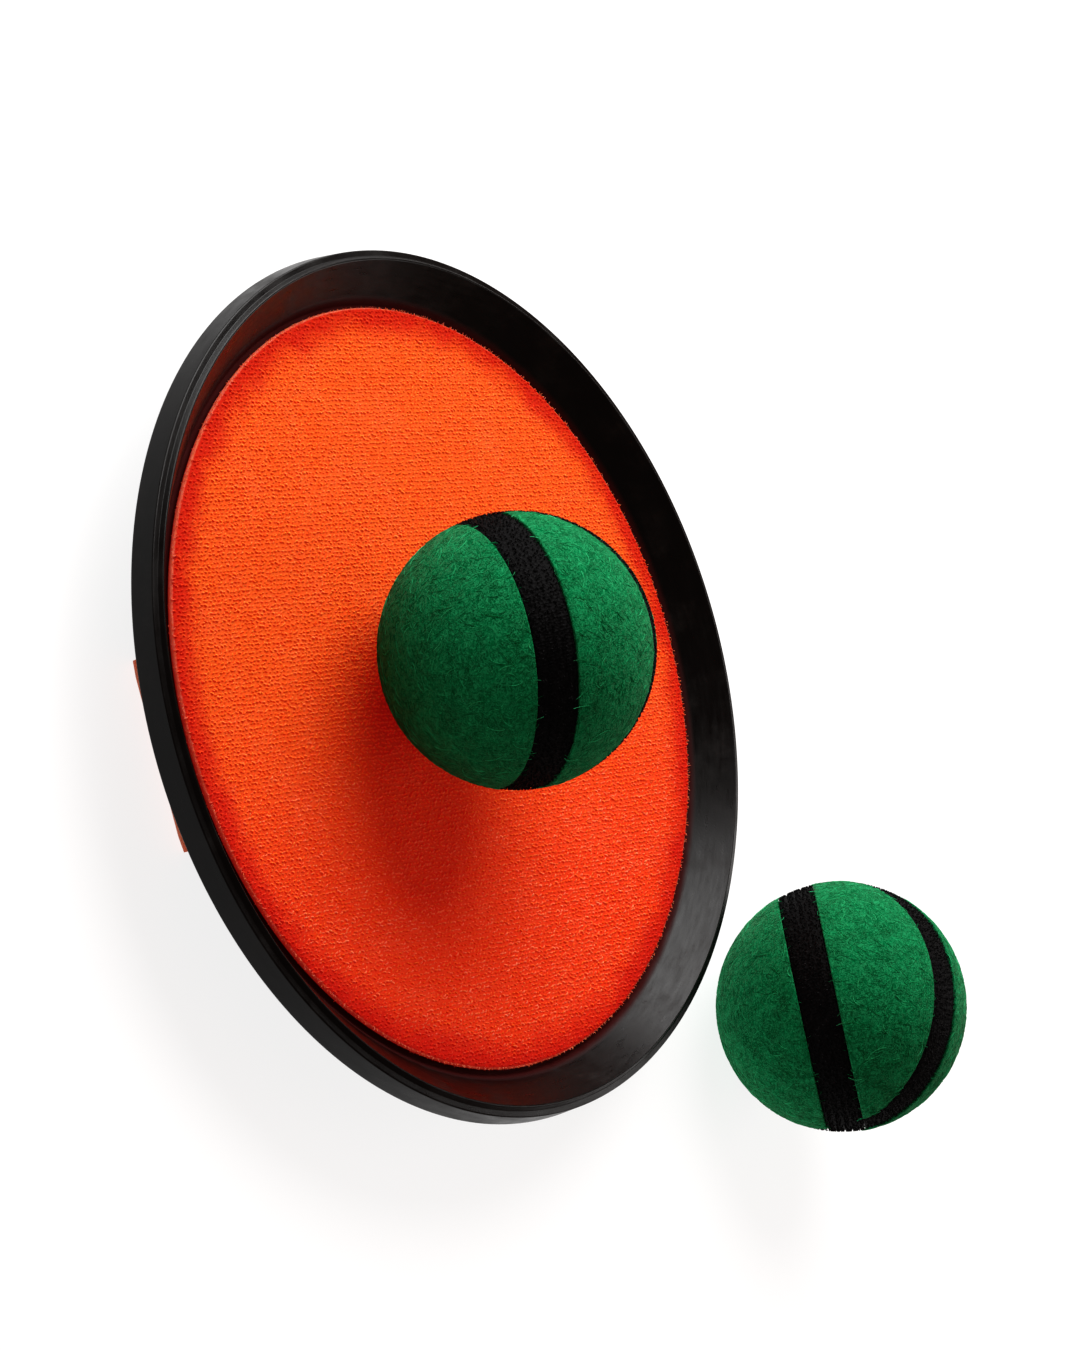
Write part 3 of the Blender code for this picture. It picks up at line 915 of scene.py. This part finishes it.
def hook_field():
    """Rows of hooks round a band. Points off the wanted side of the whole band are dropped."""
    around = round(math.tau * tape_top / hook_pitch)
    tree = Weave("hook_field", {
        "Tape Radius": tape_top, "Hooks Around": around, "Rows": hook_rows, "Row Pitch": hook_row_pitch,
        "Height": hook_height, "Reach": hook_reach, "Thread": hook_thread, "Turn": 0.0, "Shift": 0.0,
        "Side": 0.0, "Edge": -1.0})
    rows = tree.size("Rows")
    index = tree.add("GeometryNodeInputIndex")
    step = (index / rows).math("FLOOR")
    row = index - step * rows
    odd = (row * 0.5).math("FRACT")
    angle = (step + odd + tree.random(-0.40, 0.40, seed=31)) * math.tau / tree.size("Hooks Around")
    offset = (row - (rows - 1) * 0.5 + tree.random(-0.42, 0.42, seed=32)) * tree.size("Row Pitch")
    offset = offset + tree.size("Shift")
    radius = tree.size("Tape Radius")
    level = (radius * radius - offset * offset).math("SQRT")
    ring = tree.vector(level * angle.math("COSINE"), offset, level * angle.math("SINE"))
    place = tree.add("ShaderNodeVectorRotate", {"Vector": ring, "Angle": tree.size("Turn")},
                     rotation_type="Z_AXIS")
    placed = tree.points(tree.size("Hooks Around") * rows, place)
    position = tree.add("GeometryNodeInputPosition")
    sideways = tree.parts(position)[1] * tree.size("Side")
    kept = tree.without(placed, tree.compare(sideways, "LESS_THAN", tree.size("Edge")))
    across = tree.add("ShaderNodeVectorRotate", {"Vector": (0.0, 1.0, 0.0), "Angle": tree.size("Turn")},
                      rotation_type="Z_AXIS")
    upright = tree.add("FunctionNodeAlignRotationToVector", {"Vector": position}, axis="Z")
    facing = tree.add("FunctionNodeAlignRotationToVector", {"Rotation": upright, "Vector": across},
                      axis="X", pivot_axis="Z")
    turn = odd * math.tau + tree.random(-1.2, 1.2, seed=33)
    spin = tree.add("FunctionNodeRotateRotation",
                    {"Rotation": facing, "Rotate By": tree.vector(0.0, 0.0, turn)},
                    rotation_space="LOCAL")
    height = tree.size("Height")
    hook = tree.strand((0.0, 0.0, -hook_sink), tree.vector(0.0, 0.0, height * 2.1),
                       tree.vector(tree.size("Reach"), 0.0, height * 0.45), tree.size("Thread"), 3)
    stood = tree.add("GeometryNodeInstanceOnPoints", {"Points": kept, "Instance": hook, "Rotation": spin})
    tree.close(stood, black_nylon("black_hooks", hook_grey))
    return tree


hook_tree = hook_field()
tape_finish = black_nylon("black_tape", tape_grey)
bands = {"band": (0, 0.0), "half_band_a": (1, 1.0), "half_band_b": (1, -1.0)}
for ball in ball_poles:
    place = ball_place(ball)
    for band, (number, side) in bands.items():
        angle = band_angle * number
        shift = band_shifts[number]
        tape = new_piece(f"{ball}_{band}_tape", tape_mesh(band, angle, shift, side), tape_finish)
        edge = band_width / 2 + half_band_gap + hook_thread + side * band_shifts[0] if side else -1.0
        hooks = hook_tree.grow(f"{ball}_{band}_hooks", Turn=angle, Shift=shift, Side=side, Edge=edge)
        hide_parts(f"{ball}_{band}")
        for piece in (tape, hooks):
            piece.data.transform(place)
            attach(piece, "root")


# Felt panels: soft green needled felt, cut in long lens shapes and glued on. Their edges are pressed
# down and rounded beside the bands, and loose fibres lie curled all over them. Where a ball lies on
# the ground, the fibres are pressed flat.
felt_edge = 0.0004
felt_tip = 0.0010
panel_rows = 48
panel_step = math.radians(4.0)
edge_steps = 4
halvings = 30
panel_sides = ((1, -1), (1, 1), (-1, 1), (-1, -1))
felt_layers = {
    "tufts": {"Density": 450000.0, "Length": 0.0027, "Thickness": 0.00022, "Steps": 4,
              "Pale": 0.0, "Seed": 51},
    "fibres": {"Density": 62000.0, "Length": 0.0040, "Thickness": 0.00030, "Steps": 5,
               "Pale": 0.85, "Seed": 52},
}
skin_slack = 0.00030
fibre_rise = 0.00012
swirl_size = 0.008
mottle_size = 0.0042
curl_size = 0.0013
felt_fluff_size = 0.00045
felt_depth = 0.00018
streak_size = 0.0016
felt_green = paint(4, 130, 82)
felt_dark = paint(2, 76, 42)
fibre_green = paint(90, 220, 158)
felt_sheen = paint(255, 240, 210)


def panel_span(sides, level, inset):
    """Azimuths between which a panel covers a level circle about Z, that far in from its edges."""
    arcs = []
    for number, side in enumerate(sides):
        offset = band_shifts[number] + side * (band_width / 2 + groove + inset)
        half = math.acos(max(-1.0, min(1.0, side * offset / level)))
        arcs.append((band_angle * number + side * math.pi / 2, half))
    (middle_1, half_1), (middle_2, half_2) = arcs
    middle_2 = middle_1 + math.remainder(middle_2 - middle_1, math.tau)
    return max(middle_1 - half_1, middle_2 - half_2), min(middle_1 + half_1, middle_2 + half_2)


def tip_polar(sides, radius, inset):
    """Angle from the pole at which a panel has narrowed to its blunt tip."""
    low, high = 0.0, math.pi / 2
    for _ in range(halvings):
        polar = (low + high) / 2
        level = radius * math.sin(polar)
        start, end = panel_span(sides, level, inset)
        if (end - start) * level < felt_tip:
            low = polar
        else:
            high = polar
    return high


def panel_points(sides, radius, inset):
    """Rows of points over a panel, from tip to tip, closer together near the tips."""
    tip = tip_polar(sides, radius, inset)
    widest = panel_span(sides, ball_radius, 0.0)
    columns = math.ceil((widest[1] - widest[0]) / panel_step)
    rows = []
    for j in range(panel_rows + 1):
        polar = math.pi / 2 - (math.pi / 2 - tip) * math.cos(math.pi * j / panel_rows)
        level = radius * math.sin(polar)
        start, end = panel_span(sides, level, inset)
        arounds = [start + (end - start) * k / columns for k in range(columns + 1)]
        rows.append([Vector((level * math.cos(a), level * math.sin(a), radius * math.cos(polar)))
                     for a in arounds])
    return rows


def edge_of(rows):
    """The outermost of some rows of points, in order round them."""
    return rows[0] + [row[-1] for row in rows[1:-1]] + rows[-1][::-1] + [row[0] for row in rows[-2:0:-1]]


def felt_mesh(sides):
    """A felt panel: a skin that rounds down at its edges, a rim, and a base on the core."""
    levels = [(core_radius, 0.0)]
    for k in range(edge_steps + 1):
        swing = math.pi / 2 * k / edge_steps
        levels.append((ball_radius - felt_edge * (1 - math.sin(swing)), felt_edge * (1 - math.cos(swing))))
    bm = bmesh.new()
    rings = []
    for radius, inset in levels:
        rows = panel_points(sides, radius, inset)
        if (radius, inset) in (levels[0], levels[-1]):
            rows = [[bm.verts.new(point) for point in row] for row in rows]
            for row, following in zip(rows, rows[1:]):
                for corners in zip(row, row[1:], following[1:], following):
                    bm.faces.new(corners)
            rings.append(edge_of(rows))
        else:
            rings.append([bm.verts.new(point) for point in edge_of(rows)])
    for ring, following in zip(rings, rings[1:]):
        for corners in zip(ring, ring[1:] + ring[:1], following[1:] + following[:1], following):
            bm.faces.new(corners)
    mesh = closed_mesh(bm, "felt")
    smooth_over(mesh, 60.0)
    return mesh


def green_felt():
    """Needled felt: soft mottling under fine curled fibres, paler where they bunch up."""
    material, tree = finish("green_felt")
    place = tree.place()
    mottle = tree.cloud(place, mottle_size, 4.0, 0.6, 0.8)
    curl = tree.cloud(place, curl_size, 2.0, 0.5, 2.2)
    strands = (1 - ((curl - 0.5) * 9.0).math("ABSOLUTE")).math("MAXIMUM", 0.0)
    fluff = tree.cloud(place, felt_fluff_size, 3.0, 0.65)
    colour = tree.blend(0.25 + tree.rise(mottle, 0.3, 0.7) * 0.6, felt_dark, felt_green)
    tree.surface({
        "Base Color": tree.blend(strands * 0.30 + (fluff - 0.45) * 0.5, colour, fibre_green),
        "Roughness": 0.95 - strands * 0.10,
        "Specular IOR Level": 0.05,
        "Sheen Weight": 0.14,
        "Sheen Roughness": 0.3,
        "Sheen Tint": felt_sheen,
        "Normal": tree.bump(fluff * 0.7 + strands * 0.5 + mottle * 0.4, felt_depth),
    })
    return material


def felt_fibres():
    """Curled fibres that lie on the felt, in swirls that turn slowly from place to place."""
    tree = Weave("felt_fibres", {
        **felt_layers["tufts"], "Swirl": swirl_size, "Skin Radius": ball_radius})
    position = tree.add("GeometryNodeInputPosition")
    on_skin = tree.compare(tree.length(position), "GREATER_THAN", tree.size("Skin Radius") - skin_slack)
    points = tree.add("GeometryNodeDistributePointsOnFaces", {
        "Mesh": tree.size("Geometry"), "Selection": on_skin, "Density": tree.size("Density"),
        "Seed": tree.size("Seed")})
    swirl = tree.add("ShaderNodeTexNoise",
                     {"Scale": 1 / tree.size("Swirl"), "Detail": 1.0, "Vector": position})
    spin = swirl * 16.0 + tree.random(-0.6, 0.6, seed=52)
    upright = tree.add("FunctionNodeAlignRotationToVector", {"Vector": position}, axis="Z")
    lying = tree.add("FunctionNodeRotateRotation", {
        "Rotation": upright, "Rotate By": tree.vector(0.0, 0.0, spin)}, rotation_space="LOCAL")
    half = tree.size("Length") * 0.5
    fibre = tree.strand(tree.vector(-1.0 * half, 0.0, -fibre_rise), tree.vector(0.0, half, fibre_rise),
                        tree.vector(half, 0.0, -fibre_rise), tree.size("Thickness"), tree.size("Steps"))
    grown = tree.random(0.5, 1.1, seed=53)
    bend = tree.random(-0.6, 0.6, seed=54)
    stood = tree.add("GeometryNodeInstanceOnPoints", {
        "Points": points, "Instance": fibre, "Rotation": lying, "Scale": tree.vector(grown, bend, 1.0)})
    tree.close(stood, fibre_finish(), tree.size("Pale"))
    return tree


def fibre_finish():
    """Single felt fibres, from the felt's dark green to a pale one."""
    material, tree = finish("green_fibres")
    tint = tree.add("ShaderNodeAttribute", out="Fac", attribute_name="tint")
    streaks = tree.cloud(tree.place(), streak_size, 2.0)
    green = tree.blend(0.45 + tint * 0.4 + (streaks - 0.5) * 0.7, felt_dark, felt_green)
    tree.surface({
        "Base Color": tree.blend(tint * tint * tint * 0.75, green, fibre_green),
        "Roughness": 0.9,
        "Specular IOR Level": 0.05,
        "Sheen Weight": 0.12,
        "Sheen Roughness": 0.3,
        "Sheen Tint": felt_sheen,
    })
    return material


felt_finish = green_felt()
fibre_tree = felt_fibres()
for ball in ball_poles:
    place = ball_place(ball)
    for k, sides in enumerate(panel_sides, start=1):
        felt = new_piece(f"{ball}_felt_panel_{k}", felt_mesh(sides), felt_finish)
        grown = [fibre_tree.grow(f"{ball}_felt_{layer}_{k}", felt.data.copy(), **changes)
                 for layer, changes in felt_layers.items()]
        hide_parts(f"{ball}_felt_{k}")
        for piece in [felt, *grown]:
            piece.data.transform(place)
            for vertex in piece.data.vertices:
                vertex.co.z = max(vertex.co.z, 0.0)
            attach(piece, "root")
